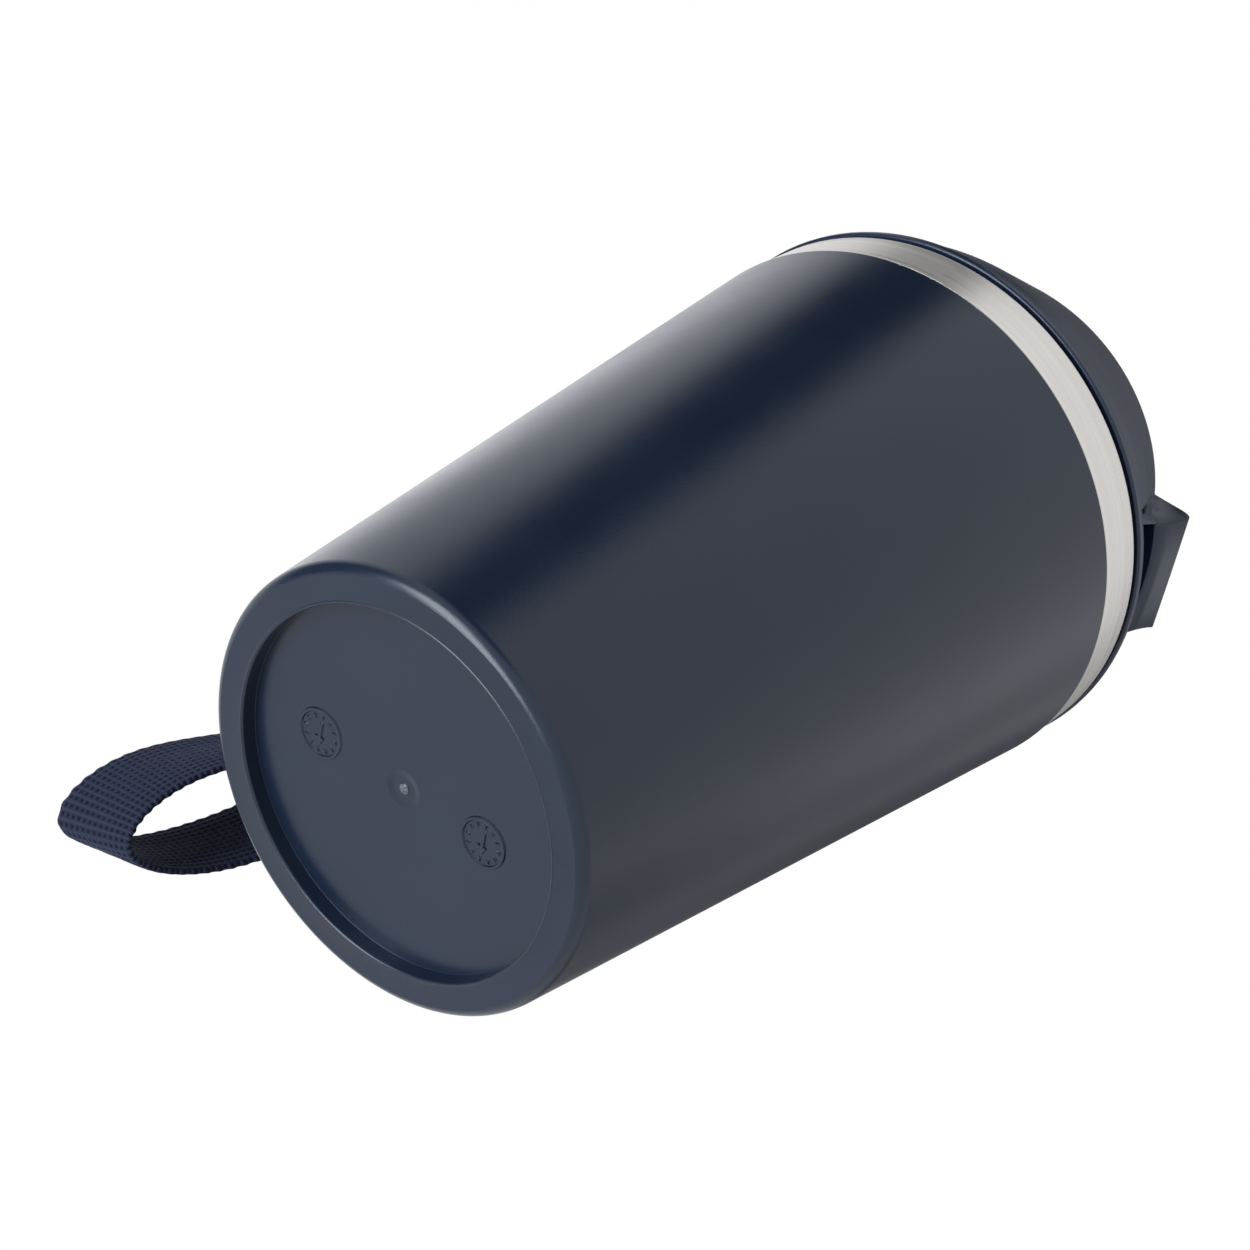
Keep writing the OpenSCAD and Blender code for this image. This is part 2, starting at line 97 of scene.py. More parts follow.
def quads_over(points, wrap_rows=False, wrap_columns=False):
    """Corners of the quads between neighbouring rows and columns.

    A wrapped side joins its last line to its first."""
    rows, columns = points.shape[:2]
    number = np.arange(rows * columns).reshape(rows, columns)
    if wrap_rows:
        number = np.concatenate([number, number[:1]], axis=0)
    if wrap_columns:
        number = np.concatenate([number, number[:, :1]], axis=1)
    corners = [number[:-1, :-1], number[1:, :-1], number[1:, 1:], number[:-1, 1:]]
    return points.reshape(-1, 3), np.stack(corners, axis=-1).reshape(-1, 4)


def joined(grids):
    """Several (points, quads) pairs as one: each grid's quads are numbered on from the last."""
    starts = np.cumsum([0] + [len(points) for points, quads in grids[:-1]])
    points = np.concatenate([points for points, quads in grids])
    quads = np.concatenate([grid[1] + start for grid, start in zip(grids, starts)])
    return points, quads


def make_mesh(name, grids, sharp_deg=35.0, weave=None):
    """One mesh in metres from several grids, with points that coincide merged.

    Edges that bend by more than sharp_deg stay sharp; with None all are smooth. A weave is a
    vector for each point, kept as an attribute of that name."""
    points, quads = joined(grids)
    mesh = bpy.data.meshes.new(name)
    mesh.from_pydata((points * MM).tolist(), [], quads.tolist())
    if weave is not None:
        vectors = mesh.attributes.new("weave", "FLOAT_VECTOR", "POINT")
        vectors.data.foreach_set("vector", weave.reshape(-1).astype(np.float32))
    work = bmesh.new()
    work.from_mesh(mesh)
    bmesh.ops.remove_doubles(work, verts=work.verts, dist=MERGE)
    bmesh.ops.recalc_face_normals(work, faces=work.faces)
    work.to_mesh(mesh)
    work.free()
    mesh.shade_smooth()
    if sharp_deg is not None:
        mesh.set_sharp_from_angle(angle=np.radians(sharp_deg))
    return mesh


def add_piece(name, mesh, body, material, nodes=()):
    """Links the mesh at the origin, gives it its finish, and lets it ride on its body."""
    thing = new_object(name, mesh)
    mesh.materials.clear()
    mesh.materials.append(material)
    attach(thing, body)
    if nodes:
        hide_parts(*nodes)
    print(name, len(mesh.vertices), "points,", len(mesh.polygons), "faces")
    return thing


def rounded(corners, radii, steps=7):
    """A line of corners, each rounded by an arc.

    The arc touches both sides at radius / tan(half the corner's angle) from the corner. A point
    of it is the sum of its two ends, each weighed by the sine of its share of the swing."""
    corners = np.asarray(corners, float)
    radius = np.asarray(radii, float)[1:-1, None]
    to_last = corners[:-2] - corners[1:-1]
    to_next = corners[2:] - corners[1:-1]
    to_last /= np.linalg.norm(to_last, axis=1, keepdims=True)
    to_next /= np.linalg.norm(to_next, axis=1, keepdims=True)
    half = np.arccos(np.clip((to_last * to_next).sum(1, keepdims=True), -1, 1)) / 2
    middle = to_last + to_next
    middle /= np.linalg.norm(middle, axis=1, keepdims=True)
    centre = corners[1:-1] + middle * radius / np.sin(half)
    first = corners[1:-1] + to_last * radius / np.tan(half) - centre
    last = corners[1:-1] + to_next * radius / np.tan(half) - centre
    swing = (np.pi - 2 * half)[:, :, None]
    share = np.linspace(0, 1, steps)[None, :, None]
    from_first = np.sin((1 - share) * swing) * first[:, None]
    from_last = np.sin(share * swing) * last[:, None]
    arcs = (from_first + from_last) / np.sin(swing) + centre[:, None]
    return np.concatenate([corners[:1], arcs.reshape(-1, 2), corners[-1:]])


def revolve(profile, columns=224):
    """The profile's (radius, height) points carried round the Z axis in equal steps."""
    angle = np.linspace(0, 2 * np.pi, columns, endpoint=False)[:, None]
    radius, height = profile.T
    points = [radius * np.cos(angle), radius * np.sin(angle), height + 0 * angle]
    return quads_over(np.stack(points, axis=-1), wrap_rows=True)


# %% [markdown]
# ## Shared shader effects
# Two effects turn up in more than one material. Moulded plastic has a fine spark-eroded
# grain and a slow drift in tone; turned steel has hair-thin lines that run round the axis.
# Each is a node group with its own inputs, placed in a material wherever it is needed.

# %% Node groups
def new_group(name, inputs, outputs):
    """An empty shader group with float or vector inputs and float outputs."""
    group = bpy.data.node_groups.new(name, "ShaderNodeTree")
    for label, kind, value in inputs:
        socket = group.interface.new_socket(label, in_out="INPUT", socket_type=kind)
        if value is not None:
            socket.default_value = value
    for label in outputs:
        group.interface.new_socket(label, in_out="OUTPUT", socket_type="NodeSocketFloat")
    entry = group.nodes.new("NodeGroupInput")
    leave = group.nodes.new("NodeGroupOutput")
    return group, entry, leave


def math_node(tree, operation, first, second=None):
    """A Math node; a number is typed in and a socket is linked."""
    node = tree.nodes.new("ShaderNodeMath")
    node.operation = operation
    for slot, value in enumerate([first, second]):
        if value is None:
            continue
        if isinstance(value, (int, float)):
            node.inputs[slot].default_value = value
        else:
            tree.links.new(value, node.inputs[slot])
    return node.outputs[0]


def noise_node(tree, vector, scale, detail, rough=0.55):
    """A Noise texture's value on the given coordinates."""
    node = tree.nodes.new("ShaderNodeTexNoise")
    node.inputs["Detail"].default_value = detail
    node.inputs["Roughness"].default_value = rough
    tree.links.new(vector, node.inputs["Vector"])
    if isinstance(scale, (int, float)):
        node.inputs["Scale"].default_value = scale
    else:
        tree.links.new(scale, node.inputs["Scale"])
    return node.outputs["Fac"]


grain_group, grain_in, grain_out = new_group("moulded_grain", [
    ("Vector", "NodeSocketVector", None),
    ("Grain scale", "NodeSocketFloat", 5200.0),
    ("Drift scale", "NodeSocketFloat", 60.0)], ["Height", "Drift"])
for output, scale, detail in (("Height", "Grain scale", 2.0), ("Drift", "Drift scale", 3.0)):
    value = noise_node(grain_group, grain_in.outputs["Vector"], grain_in.outputs[scale], detail)
    grain_group.links.new(value, grain_out.inputs[output])

brush_group, brush_in, brush_out = new_group("turned_lines", [
    ("Vector", "NodeSocketVector", None),
    ("Line scale", "NodeSocketFloat", 9000.0)], ["Height", "Streak"])
TURN_SCALE, STREAK_SCALE = 2.2, 0.14
line_scale = brush_in.outputs["Line scale"]
split = brush_group.nodes.new("ShaderNodeSeparateXYZ")
brush_group.links.new(brush_in.outputs["Vector"], split.inputs[0])
east, north, upward = split.outputs
turn = math_node(brush_group, "ARCTAN2", north, east)
squares = [math_node(brush_group, "MULTIPLY", part, part) for part in (east, north)]
reach = math_node(brush_group, "SQRT", math_node(brush_group, "ADD", *squares))
ring = brush_group.nodes.new("ShaderNodeCombineXYZ")
for axis, value, factor in (("X", turn, TURN_SCALE), ("Y", upward, line_scale),
                            ("Z", reach, line_scale)):
    brush_group.links.new(math_node(brush_group, "MULTIPLY", value, factor), ring.inputs[axis])
lines = noise_node(brush_group, ring.outputs[0], 1.0, 3.0, 0.7)
streaks = noise_node(brush_group, ring.outputs[0], STREAK_SCALE, 2.0, 0.6)
brush_group.links.new(lines, brush_out.inputs["Height"])
brush_group.links.new(streaks, brush_out.inputs["Streak"])
print("groups:", [group.name for group in (grain_group, brush_group)])

# %% [markdown]
# ## Materials
# The shell and the lid are nearly the same navy grey, the lid a little bluer and finer in
# its grain. Fixed numbers are typed on the shader itself; only what changes over the
# surface is linked to it. The drift picks between two close tones, and the grain goes
# through a Bump node.

# %% Material helpers
def new_material(name):
    """A material with nothing but a Principled shader and its output, with its node tree."""
    material = bpy.data.materials.new(name)
    material.use_nodes = True
    tree = material.node_tree
    return material, tree, tree.nodes["Principled BSDF"]


def object_vector(tree):
    """Object coordinates, in metres, which stay with the piece as it moves."""
    return tree.nodes.new("ShaderNodeTexCoord").outputs["Object"]


def place_group(tree, group, vector, **values):
    """Places a shared group and types in the values given by name, with _ for a space."""
    node = tree.nodes.new("ShaderNodeGroup")
    node.node_tree = group
    tree.links.new(vector, node.inputs["Vector"])
    for label, value in values.items():
        node.inputs[label.replace("_", " ")].default_value = value
    return node


def spread(tree, value, low, high):
    """Maps 0.3..0.7, where a noise mostly lies, to low..high."""
    node = tree.nodes.new("ShaderNodeMapRange")
    ends = {"From Min": 0.3, "From Max": 0.7, "To Min": low, "To Max": high}
    for label, number in ends.items():
        node.inputs[label].default_value = number
    tree.links.new(value, node.inputs["Value"])
    return node.outputs["Result"]


def tone(tree, factor, dark, light):
    """A colour between two tones."""
    node = tree.nodes.new("ShaderNodeMix")
    node.data_type = "RGBA"
    node.inputs["A"].default_value = (*dark, 1)
    node.inputs["B"].default_value = (*light, 1)
    tree.links.new(factor, node.inputs["Factor"])
    return node.outputs["Result"]


def choose(tree, factor, first, second):
    """The first shader where the factor is 0, the second where it is 1."""
    node = tree.nodes.new("ShaderNodeMixShader")
    tree.links.new(factor, node.inputs["Fac"])
    tree.links.new(first, node.inputs[1])
    tree.links.new(second, node.inputs[2])
    return node.outputs[0]


def bump(tree, shader, height, distance):
    """Links a height to the shader's normal; distance is the relief's depth in metres."""
    node = tree.nodes.new("ShaderNodeBump")
    node.inputs["Strength"].default_value = 1.0
    node.inputs["Distance"].default_value = distance
    tree.links.new(height, node.inputs["Height"])
    tree.links.new(node.outputs["Normal"], shader.inputs["Normal"])


def vary(tree, shader, value, dark, light, rough_range):
    """Lets one noise set both the base colour, between two tones, and the roughness."""
    colour = tone(tree, spread(tree, value, 0, 1), dark, light)
    tree.links.new(colour, shader.inputs["Base Color"])
    tree.links.new(spread(tree, value, *rough_range), shader.inputs["Roughness"])


def moulded_plastic(name, dark, light, rough, grain_scale, grain_depth, specular=0.42):
    """Matte moulded plastic: the slow drift sets tone and roughness, the grain is bump."""
    material, tree, shader = new_material(name)
    grain = place_group(tree, grain_group, object_vector(tree), Grain_scale=grain_scale)
    vary(tree, shader, grain.outputs["Drift"], dark, light, (rough - 0.03, rough + 0.04))
    shader.inputs["Specular IOR Level"].default_value = specular
    bump(tree, shader, grain.outputs["Height"], grain_depth)
    return material


def turned_steel(name, dark, light, rough, line_depth, metal=1.0):
    """Steel with lines round the Z axis: the streaks set tone and roughness, the lines are bump.

    Fine lines smear a reflection at right angles to themselves, which is what anisotropy does."""
    material, tree, shader = new_material(name)
    brush = place_group(tree, brush_group, object_vector(tree))
    vary(tree, shader, brush.outputs["Streak"], dark, light, (rough - 0.05, rough + 0.07))
    shader.inputs["Metallic"].default_value = metal
    shader.inputs["Anisotropic"].default_value = 0.6
    shader.inputs["Anisotropic Rotation"].default_value = 0.25
    tangent = tree.nodes.new("ShaderNodeTangent")
    tangent.direction_type = "RADIAL"
    tangent.axis = "Z"
    tree.links.new(tangent.outputs["Tangent"], shader.inputs["Tangent"])
    bump(tree, shader, brush.outputs["Height"], line_depth)
    return material


# %% The finishes
shell_plastic = moulded_plastic(
    "shell_plastic", (0.0062, 0.0125, 0.0275), (0.0074, 0.0145, 0.0310),
    rough=0.23, grain_scale=5200.0, grain_depth=0.00002)
lid_plastic = moulded_plastic(
    "lid_plastic", (0.0064, 0.0137, 0.034), (0.0077, 0.0158, 0.038),
    rough=0.23, grain_scale=6500.0, grain_depth=0.000015)
stub_gloss = moulded_plastic(
    "stub_gloss", (0.07, 0.08, 0.1), (0.1, 0.11, 0.13),
    rough=0.2, grain_scale=1800.0, grain_depth=0.00006)
silicone = moulded_plastic(
    "silicone", (0.012, 0.013, 0.016), (0.018, 0.019, 0.023),
    rough=0.62, grain_scale=3500.0, grain_depth=0.00002, specular=0.35)
cup_steel = turned_steel(
    "cup_steel", (0.685, 0.65, 0.60), (0.778, 0.742, 0.69),
    rough=0.30, line_depth=0.000012, metal=0.7)
pin_steel = turned_steel(
    "pin_steel", (0.55, 0.55, 0.55), (0.62, 0.62, 0.62), rough=0.25, line_depth=0.000006)
finishes = (shell_plastic, lid_plastic, stub_gloss, silicone, cup_steel, pin_steel)
print("finishes:", [finish.name for finish in finishes])

# %% [markdown]
# ## The shell
# A moulding like this is a turned shape: one profile carried round the axis. The profile runs
# from a shallow dimple in the middle of the base, over the recess and its lip, and down a fine
# step to the foot ring. The foot's rounding begins with a crisp edge and then runs evenly into
# the cone. Above are the step that holds the steel, and the way back down inside. Each other
# corner gets the radius that a mould would give it.

# %% Shell
RECESS_Z, RING_Z = 2.4, 0.06
FOOT_R, FOOT_ROUND, FOOT_START = 30.5, 1.9, np.radians(16)
SHELL_R, SHELL_TOP, STRAIGHT_FROM = 40.0, 104.7, 50

base_corners = [(0, 2.42), (0.62, 2.44), (0.75, 2.56), (1.75, 2.56), (2.65, RECESS_Z),
                (25.41, RECESS_Z), (25.41, 0), (25.79, 0), (25.90, RING_Z), (29.0, RING_Z)]
base_radii = [0, 0.05, 0.05, 1.0, 0.9, 0.06, 0.37, 0.03, 0.03, 0]
side_slope = (SHELL_R - FOOT_R) / SHELL_TOP
bends = np.linspace(FOOT_START, np.pi / 2 - np.arctan(side_slope), 14)
foot_z = RING_Z + FOOT_ROUND * np.cos(bends[0])
foot_r = FOOT_R + side_slope * foot_z - FOOT_ROUND * np.hypot(1, side_slope)
foot_arc = np.stack([foot_r + FOOT_ROUND * np.sin(bends),
                     foot_z - FOOT_ROUND * np.cos(bends)], axis=1)
wall_corners = [(FOOT_R + STRAIGHT_FROM * side_slope, STRAIGHT_FROM), (SHELL_R, SHELL_TOP),
                (38.86, SHELL_TOP), (38.86, 111.1), (36.59, 111.1), (36.59, 90.8),
                (29.1, 6.6), (26.3, 4.4), (0, 4.4)]
wall_radii = [0, 0.12, 0.2, 0.3, 0.3, 1.5, 1.5, 1.0, 0]
shell_profile = np.concatenate([
    rounded(base_corners, base_radii, 10), foot_arc, rounded(wall_corners, wall_radii, 10)])
add_piece("shell", make_mesh("shell", [revolve(shell_profile, 256)], 14),
          "mug", shell_plastic, ["outer_shell"])

# %% [markdown]
# ## Moulding details under the foot
# Where the plastic was cut from the mould's channel a small torn stub stays behind, shinier
# than the rest. Beside it, moulds often carry small inserts: a ring with ticks and a pointer.
# Both are height fields on a disc: the height above the recess floor is a function of the
# distance from the disc's centre and the angle round it. The disc's rim sinks a little into the
# floor, so no gap shows there.

# %% Stub and dials
DIAL_PLACES, DIAL_REACH = ((0.0, 14.2), (0.0, -13.2)), 3.9
DIAL_DEPTH, DIAL_SOFT, TICKS = 0.22, 0.15, 12
HEAD_FROM, POINTER_TIP = 0.5, 1.5
STUB_REACH, STUB_FLOOR = 0.72, 2.44


def soft_step(value, low, high):
    """0 below low, 1 above high, and a smooth cubic between them."""
    share = np.clip((value - low) / (high - low), 0, 1)
    return share * share * (3 - 2 * share)


def relief(centre, reach, height, rings=60, columns=180, floor=RECESS_Z):
    """A disc under the base.

    Each point hangs below the recess floor by the height at its radius and angle, and the disc
    as a whole sinks a hair into the floor, its rim more."""
    radius = np.linspace(0, reach, rings)[:, None]
    angle = np.linspace(0, 2 * np.pi, columns, endpoint=False)[None, :]
    drop = height(radius, angle) - 0.02 * soft_step(radius, 0.93 * reach, reach) - 0.01
    points = [centre[0] + radius * np.cos(angle), centre[1] + radius * np.sin(angle),
              floor - drop + 0 * angle]
    return quads_over(np.stack(points, axis=-1), wrap_columns=True)


def raised(radius, low, high):
    """1 between two radii and 0 outside them, with soft edges."""
    return (soft_step(radius, low, low + DIAL_SOFT)
            * (1 - soft_step(radius, high - DIAL_SOFT, high)))


def dial_height(radius, angle):
    """An outer ring, twelve ticks inside it and a pointer across the middle, with soft edges.

    The distance to a tick is the angle to the nearest one times the radius; the pointer is a
    bar with a wider head that narrows to its tip."""
    gap = 2 * np.pi / TICKS
    off_tick = np.abs((angle / gap + 0.5) % 1 - 0.5) * gap * radius
    ticks = (1 - soft_step(off_tick, 0.1, 0.2)) * raised(radius, 2.1, 2.9)
    along, across = radius * np.cos(angle), np.abs(radius * np.sin(angle))
    head = 0.25 + np.clip(POINTER_TIP - along, 0, 1) * 0.45
    width = np.where(along > HEAD_FROM, head, 0.2)
    pointer = 1 - soft_step(across, width, width + 0.12)
    pointer = pointer * (1 - soft_step(np.abs(along), POINTER_TIP, POINTER_TIP + 0.12))
    return DIAL_DEPTH * np.maximum(np.maximum(raised(radius, 3.05, 3.65), ticks), pointer)


def torn_height(radius, angle):
    """A ragged lump: a low dome with a few waves across it."""
    waves = np.sin(9 * radius * np.cos(angle) + 1) + np.sin(11 * radius * np.sin(angle) + 2)
    return (0.16 + 0.05 * waves) * (1 - soft_step(radius, 0.25, 0.68)) + 0.012


dial_grids = [relief(place, DIAL_REACH, dial_height) for place in DIAL_PLACES]
add_piece("base_dials", make_mesh("base_dials", dial_grids),
          "mug", shell_plastic)
stub_grid = relief((0, 0), STUB_REACH, torn_height, 24, 48, STUB_FLOOR)
add_piece("base_stub", make_mesh("base_stub", [stub_grid]),
          "mug", stub_gloss)

# %% [markdown]
# ## The steel cup
# The cup is one sheet. Its wall comes up inside the shell, rolls over the rim, and folds down
# outside as the bare band. The profile follows the sheet up its outside and back down its
# inside. The three thread ridges in the neck are a four-sided section carried along a helix
# and flattened into the wall at both ends.

# %% Cup
RIDGE_HEIGHTS = np.array([-1.1, -0.5, 0.5, 1.1])
RIDGE_STARTS, RIDGE_FADE = np.radians([0, 120, 240]), np.radians(9)


def helix_ridge(base, crest, middle, turn_deg, lead=16.0, rows=60):
    """A trapezoid swept along a helix, three times round the axis.

    It climbs by lead in a full turn, and its crest sinks to the base at both ends."""
    angle = np.radians(np.linspace(-turn_deg / 2, turn_deg / 2, rows))
    rise = middle + lead * angle / (2 * np.pi)
    fade = soft_step(np.minimum(angle - angle[0], angle[-1] - angle), 0, RIDGE_FADE)
    top = base + (crest - base) * fade
    radius = np.stack([base + 0 * top, top, top, base + 0 * top], axis=1)
    height = rise[:, None] + RIDGE_HEIGHTS[None, :]
    turned = angle[:, None] + RIDGE_STARTS[:, None, None]
    points = [radius * np.cos(turned), radius * np.sin(turned), height + 0 * turned]
    return [quads_over(ridge, wrap_columns=True) for ridge in np.stack(points, axis=-1)]


cup_corners = [(0, 6.6), (26.89, 6.6), (34.17, 86.8), (36.29, 90.8), (36.29, 112.2),
               (39.18, 112.2), (39.4, 104.8), (39.92, 104.8), (39.76, 112.8), (35.69, 112.8),
               (35.69, 90.8), (33.57, 86.8), (26.29, 7.2), (0, 7.2)]
cup_radii = [0, 7, 2, 2, 0.3, 0.3, 0.1, 0.06, 0.6, 1.0, 2.3, 2.3, 6.4, 0]
cup_grids = [revolve(rounded(cup_corners, cup_radii, 9), 256)]
cup_grids += helix_ridge(base=35.99, crest=34.69, middle=107.0, turn_deg=100)
add_piece("cup", make_mesh("cup", cup_grids), "mug", cup_steel, ["inner_cup"])

# %% [markdown]
# ## The lid's seal
# The dark line between the band and the lid is a flat silicone ring, set back from the edge.

# %% Lid seal
seal_corners = [(37.0, 113.5), (36.8, 112.9), (38.27, 112.9), (38.27, 114.1), (36.8, 114.1),
                (37.0, 113.5)]
seal_profile = rounded(seal_corners, [0, 0.2, 0.3, 0.3, 0.2, 0])
add_piece("seal", make_mesh("seal", [revolve(seal_profile)]),
          "lid_rise", silicone, ["lid_seal"])

# %% [markdown]
# ## The flip cover
# The cover is a skirt with a sloping dome on it, whose top tips down towards the hinge. Round
# the axis the wall is a radius for each angle and height, so the thumb tab and the finger
# hollow can be worked into that radius: the tab is the smooth larger of wall and tab, a crease
# is sunk beside its flanks, and the hollow is the smaller of wall and a scoop. One grid runs
# from the middle of the ceiling, down the inside, round the lower edge, up the outside and to
# the middle of the top.

# %% Cover wall
COVER_Z, SHOULDER_Z, LOW_TOP, SLOPE = 116.65, 121.35, 132.2, 0.071
SKIRT_R, SKIRT_TAPER, SHOULDER_R, SHOULDER_BLEND = 38.25, 0.2596, 37.03, 0.7
TOP_R, TOP_Z, TOP_ROUND, CURL_Z, SLOPE_R = 27.3, 136.3, 2, 134.3, 28
CEILING_R, CEILING_Z, WALL, INNER_DROP = 26.2, 134.3, 2.1, 2.9
DOME_RUN, DOME_RISE = 8.0, 1


def smooth_max(first, second, blend):
    """The larger of two values, with a parabola of the given width where they cross."""
    near = np.clip(1 - np.abs(first - second) / blend, 0, 1)
    return np.maximum(first, second) + near * near * blend / 4


def smooth_min(first, second, blend):
    """The smaller of two values, rounded the same way."""
    return -smooth_max(-first, -second, blend)


even, close = np.linspace(-180, 180, 217)[:-1], np.linspace(-29, 29, 233)
front_angle = np.unique(np.round(np.concatenate([even, close]), 5))
front_angle = np.radians(front_angle)[None, :]
side, ahead = np.abs(np.sin(front_angle)), np.cos(front_angle)
ring_z = CURL_Z + SLOPE * SLOPE_R * ahead
lean = np.arctan2(DOME_RUN, ring_z + DOME_RISE - SHOULDER_Z)
edge_r = TOP_R + TOP_ROUND * np.cos(lean)
edge_z = ring_z + TOP_ROUND * np.sin(lean)


def wall_radius(height):
    """The smaller of two lines: the skirt's, and the dome's from the shoulder to the top's edge."""
    skirt = SKIRT_R - SKIRT_TAPER * (height - COVER_Z)
    dome = SHOULDER_R + (edge_r - SHOULDER_R) * (height - SHOULDER_Z) / (edge_z - SHOULDER_Z)
    return smooth_min(skirt, dome, SHOULDER_BLEND)


print("cover wall:", front_angle.size, "angles, closest together at the tab")

# %% Thumb tab and finger hollow
TAB_LOW, TAB_TOP, TAB_HALF, TAB_WAIST = 125.05, 130.95, 10.2, 1.6
TAB_FOOT_R, TAB_REACH, TAB_TIP = 36.5, 37.3, 0.5
TAB_ROUND, LEAST_ROUND, ROUND_STRETCH, FLANK_BLEND = 0.8, 0.05, 2.6, 1.4
TAB_AHEAD, FLANK_POWER, HALVINGS = 0.8, 1.5, 30
RAY_FROM, RAY_TO = 20.0, 46.0
HOLLOW_R, HOLLOW_WALL, HOLLOW_TOP, HOLLOW_SPREAD, CHEEK = 7.0, 1.6, 9.7, 3.7, 1.9
PAD_Y, PAD_HALF, PAD_TOP, PAD_AHEAD = 28.6, 14.6, 126.5, 0.5


def hollow_edge(height):
    """Half the hollow's width: it spreads evenly from the tab's foot to the cover's lower edge."""
    share = np.clip((TAB_LOW - height) / (TAB_LOW - COVER_Z), 0, 1)
    return HOLLOW_TOP + HOLLOW_SPREAD * share


def crease_at(height):
    """How far from the middle plane the tab's flank meets the wall, at each height."""
    return np.interp(height, [COVER_Z, 121.2, TAB_LOW, 128.1, TAB_TOP],
                     [14.5, 14.1, 12.4, 10.9, 10.4])


def boss_radius(height, wall):
    """The tab and its cheeks: at each height a front and two flanks that run back to the wall.

    The front is an arc about the axis at the tab's foot and turns evenly into a straight line at
    its top, where a small quarter circle ends it; below the foot it grows back to the skirt. The
    half width of the front, and that of the flanks at the wall, change evenly too. Along each ray
    from the axis, halving steps find where the ray leaves the flank, and the smooth smaller of
    flank and front is the radius. A quarter ellipse rounds the front's lower edge, and fades
    out towards the cheeks."""
    above = np.clip((height - TAB_LOW) / (TAB_TOP - TAB_LOW), 0, 1)
    below = np.clip((height - COVER_Z) / (TAB_LOW - COVER_Z), 0, 1)
    high = height > TAB_LOW
    top_line = TAB_REACH / np.maximum(ahead, TAB_AHEAD)
    front = np.where(high, TAB_FOOT_R + (top_line - TAB_FOOT_R) * above,
                     SKIRT_R + (TAB_FOOT_R - SKIRT_R) * below)
    cheek_half = HOLLOW_TOP + HOLLOW_SPREAD + CHEEK
    half = np.where(high, TAB_HALF - TAB_WAIST * above * (1 - above),
                    cheek_half + (TAB_HALF - cheek_half) * below)
    foot_half = crease_at(height)
    half = np.minimum(half, foot_half - 0.1)
    over = np.clip(TAB_TIP - (TAB_TOP - height), 0, TAB_TIP)
    front = front - (TAB_TIP - np.sqrt(TAB_TIP ** 2 - over ** 2))
    foot_y = np.sqrt(np.maximum(wall ** 2 - foot_half ** 2, 1))
    run = np.maximum(front * ahead - foot_y, 0.05)
    near, away = RAY_FROM + 0 * front, RAY_TO + 0 * front
    for _ in range(HALVINGS):
        middle = (near + away) / 2
        share = np.clip((front - middle) * ahead / run, 0, 1)
        outside = middle * side > half + (foot_half - half) * share ** FLANK_POWER
        near, away = np.where(outside, near, middle), np.where(outside, middle, away)
    at_cheek = soft_step(front * side, HOLLOW_TOP - 0.4, HOLLOW_TOP + 0.6)
    curve = LEAST_ROUND + TAB_ROUND * (1 - at_cheek)
    under = np.clip(1 - (height - TAB_LOW) / (ROUND_STRETCH * curve), 0, 1) * high
    front = front - curve * (1 - np.sqrt(1 - under ** 2))
    reach = smooth_min(front, near, FLANK_BLEND)
    return np.where((height <= TAB_TOP) & (ahead > TAB_AHEAD), reach, 0.0)


def hollow_radius(height, radius):
    """A cylinder lying across the front takes the finger hollow out of boss and wall."""
    rise = np.clip(height - (COVER_Z + TAB_LOW) / 2, -HOLLOW_R, HOLLOW_R)
    trough_y = PAD_Y + HOLLOW_WALL + HOLLOW_R - np.sqrt(HOLLOW_R ** 2 - rise ** 2)
    trough = trough_y / np.maximum(ahead, PAD_AHEAD)
    edge = hollow_edge(height)
    inside = 1 - soft_step(radius * side, edge - 1.0, edge + 0.3)
    inside = inside * (ahead > 0) * (height < TAB_LOW)
    return radius - inside * np.maximum(radius - trough, 0)


# %% [markdown]
# ### The cover's rows
# The rows stand close together wherever the outline bends: at the lower edge, at the tab's foot
# and at its top. The crease runs along the line where flank and wall meet; it is deepest beside
# the hollow and fades out at the cover's lower edge and two thirds of the way up the tab.

# %% Cover grid
EDGE, COVER_SHARP, BOSS_BLEND, BEHIND = 0.12, 50, 0.35, 40
edge_rise = EDGE * (1 - np.cos(np.linspace(0, np.pi / 2, 6)))
low_rows = np.unique(np.concatenate([
    COVER_Z + edge_rise,
    np.linspace(COVER_Z + EDGE, 124.6, 42),
    np.linspace(124.6, 125.04, 6),
    125.06 + 2.1 * np.linspace(0, 1, 26) ** 1.6,
    np.linspace(127.2, 130.4, 18),
    np.linspace(130.4, TAB_TOP, 12),
    np.linspace(130.97, LOW_TOP, 6)]))[:, None]
wall_r = wall_radius(low_rows)
outer_r = smooth_max(wall_r, boss_radius(low_rows, wall_r), BOSS_BLEND)
off_crease = np.abs(wall_r * side - crease_at(low_rows)) + BEHIND * (ahead < 0)
crease_depth = np.interp(low_rows, [COVER_Z, 117.4, 118.3, 122, 125, 129],
                         [0, 0.3, 1.4, 1.4, 0.7, 0])
outer_r = outer_r - crease_depth * (1 - soft_step(off_crease, 0.15, 0.55))
edge_in = np.clip(EDGE - (low_rows - COVER_Z), 0, EDGE)
outer_r = hollow_radius(low_rows, outer_r) - (EDGE - np.sqrt(EDGE ** 2 - edge_in ** 2))
outer_z = low_rows + 0 * front_angle

